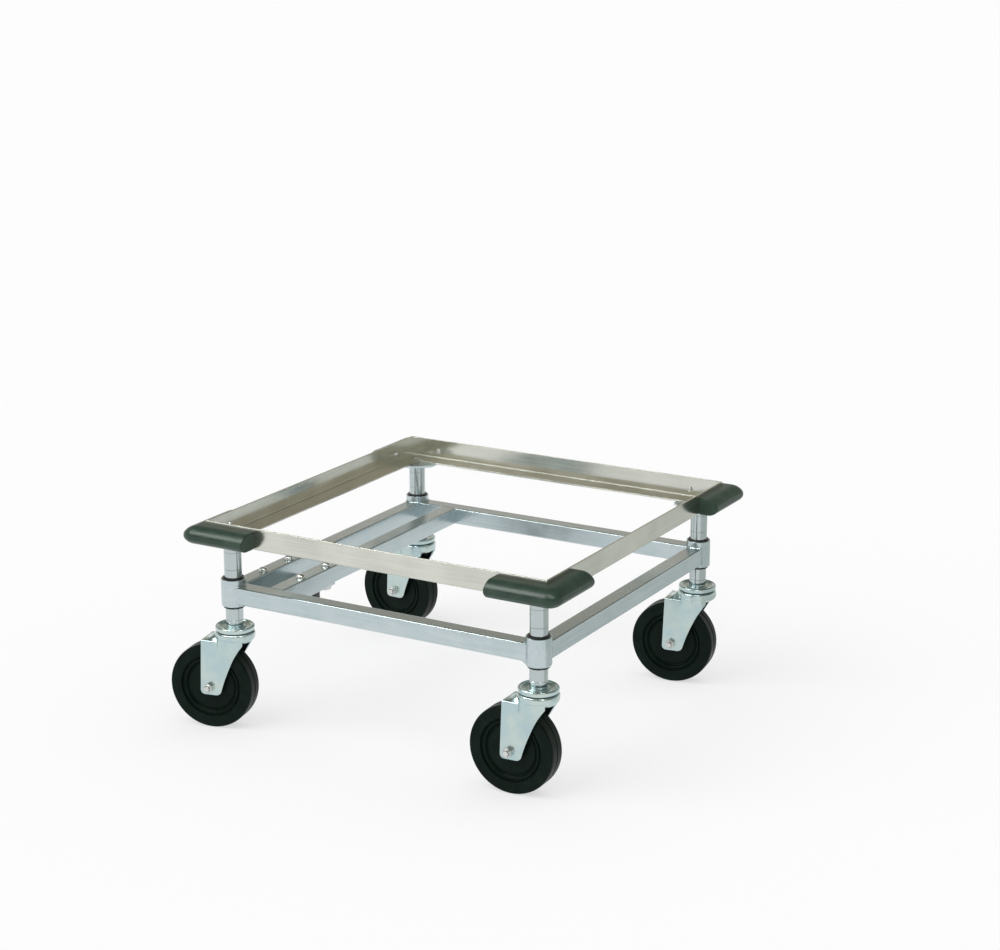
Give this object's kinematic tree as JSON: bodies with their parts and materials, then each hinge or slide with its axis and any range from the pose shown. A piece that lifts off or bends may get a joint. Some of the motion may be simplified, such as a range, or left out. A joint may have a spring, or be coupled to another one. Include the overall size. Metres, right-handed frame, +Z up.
{
  "type": "glass rack dolly",
  "caption": "Low square dolly: an angle-rail tray with corner bumpers on round posts, tied by a tube frame with sleeve collars, rolling on swivel stem casters with black wheels.",
  "frame": {"origin": "on the floor, under the middle of the square tray", "axes": "+Z up, +X along the front rail towards the front right post, +Y from front to back"},
  "size_m": [0.6535, 0.61, 0.316],
  "materials": {
    "tray_steel": "rolled stainless angle, brushed lengthwise, warm grey",
    "zinc_frame": "zinc plated tube, satin, cool grey",
    "plated_tube": "bright plated round tube",
    "caster_zinc": "zinc plated stamping with a faint yellow and blue cast",
    "fastener_steel": "bright zinc plated fastener",
    "plain_steel": "turned steel",
    "bumper_rubber": "moulded vinyl rubber, dark grey-green, slight gloss",
    "wheel_rubber": "moulded hard rubber, black, satin",
    "sleeve_plastic": "moulded black plastic",
    "pad_rubber": "moulded black rubber"
  },
  "bodies": {
    "frame": {"tray_rail_front": "tray_steel", "tray_rail_back": "tray_steel", "tray_rail_left": "tray_steel", "tray_rail_right": "tray_steel", "corner_plates": "zinc_frame", "bumper_screws": "fastener_steel", "post_plugs": "plain_steel", "post_bolts": "fastener_steel", "base_rail_front": "zinc_frame", "base_rail_back": "zinc_frame", "base_rail_left": "zinc_frame", "base_rail_right": "zinc_frame", "brace_bar": "zinc_frame", "pad_plate": "zinc_frame", "buffer_pad": "pad_rubber", "pad_bolts": "fastener_steel", "pad_nuts": "fastener_steel", "race_balls": "plain_steel", "bumper_front_left": "bumper_rubber", "bumper_front_right": "bumper_rubber", "bumper_back_right": "bumper_rubber", "bumper_back_left": "bumper_rubber", "post_front_left": "plated_tube", "post_front_right": "plated_tube", "post_back_right": "plated_tube", "post_back_left": "plated_tube", "collar_front_left": "zinc_frame", "collar_front_right": "zinc_frame", "collar_back_right": "zinc_frame", "collar_back_left": "zinc_frame", "split_sleeve_front_left": "sleeve_plastic", "split_sleeve_front_right": "sleeve_plastic", "split_sleeve_back_right": "sleeve_plastic", "split_sleeve_back_left": "sleeve_plastic", "caster_stem_front_left": "caster_zinc", "caster_stem_front_right": "caster_zinc", "caster_stem_back_right": "caster_zinc", "caster_stem_back_left": "caster_zinc"},
    "swivel_front_left": {"fork_front_left": "caster_zinc", "axle_bolt_front_left": "fastener_steel", "axle_nut_front_left": "fastener_steel", "axle_sleeve_front_left": "plain_steel"},
    "roller_front_left": {"wheel_front_left": "wheel_rubber"},
    "swivel_front_right": {"fork_front_right": "caster_zinc", "axle_bolt_front_right": "fastener_steel", "axle_nut_front_right": "fastener_steel", "axle_sleeve_front_right": "plain_steel"},
    "roller_front_right": {"wheel_front_right": "wheel_rubber"},
    "swivel_back_right": {"fork_back_right": "caster_zinc", "axle_bolt_back_right": "fastener_steel", "axle_nut_back_right": "fastener_steel", "axle_sleeve_back_right": "plain_steel"},
    "roller_back_right": {"wheel_back_right": "wheel_rubber"},
    "swivel_back_left": {"fork_back_left": "caster_zinc", "axle_bolt_back_left": "fastener_steel", "axle_nut_back_left": "fastener_steel", "axle_sleeve_back_left": "plain_steel"},
    "roller_back_left": {"wheel_back_left": "wheel_rubber"}
  },
  "joints": [
    {"name": "swivel_front_left", "type": "hinge", "parent": "frame", "child": "swivel_front_left", "pos_m": [-0.2501, -0.2501, 0.15], "axis": [0, 0, 1], "continuous": true},
    {"name": "roll_front_left", "type": "hinge", "parent": "swivel_front_left", "child": "roller_front_left", "pos_m": [-0.28385, -0.25727, 0.0635], "axis": [-0.2079, 0.9781, 0], "continuous": true},
    {"name": "swivel_front_right", "type": "hinge", "parent": "frame", "child": "swivel_front_right", "pos_m": [0.2501, -0.2501, 0.15], "axis": [0, 0, 1], "continuous": true},
    {"name": "roll_front_right", "type": "hinge", "parent": "swivel_front_right", "child": "roller_front_right", "pos_m": [0.21562, -0.2513, 0.0635], "axis": [-0.0349, 0.9994, 0], "continuous": true},
    {"name": "swivel_back_right", "type": "hinge", "parent": "frame", "child": "swivel_back_right", "pos_m": [0.2501, 0.2501, 0.15], "axis": [0, 0, 1], "continuous": true},
    {"name": "roll_back_right", "type": "hinge", "parent": "swivel_back_right", "child": "roller_back_right", "pos_m": [0.21594, 0.2453, 0.0635], "axis": [-0.1392, 0.9903, 0], "continuous": true},
    {"name": "swivel_back_left", "type": "hinge", "parent": "frame", "child": "swivel_back_left", "pos_m": [-0.2501, 0.2501, 0.15], "axis": [0, 0, 1], "continuous": true},
    {"name": "roll_back_left", "type": "hinge", "parent": "swivel_back_left", "child": "roller_back_left", "pos_m": [-0.28458, 0.2513, 0.0635], "axis": [0.0349, 0.9994, 0], "continuous": true}
  ]
}
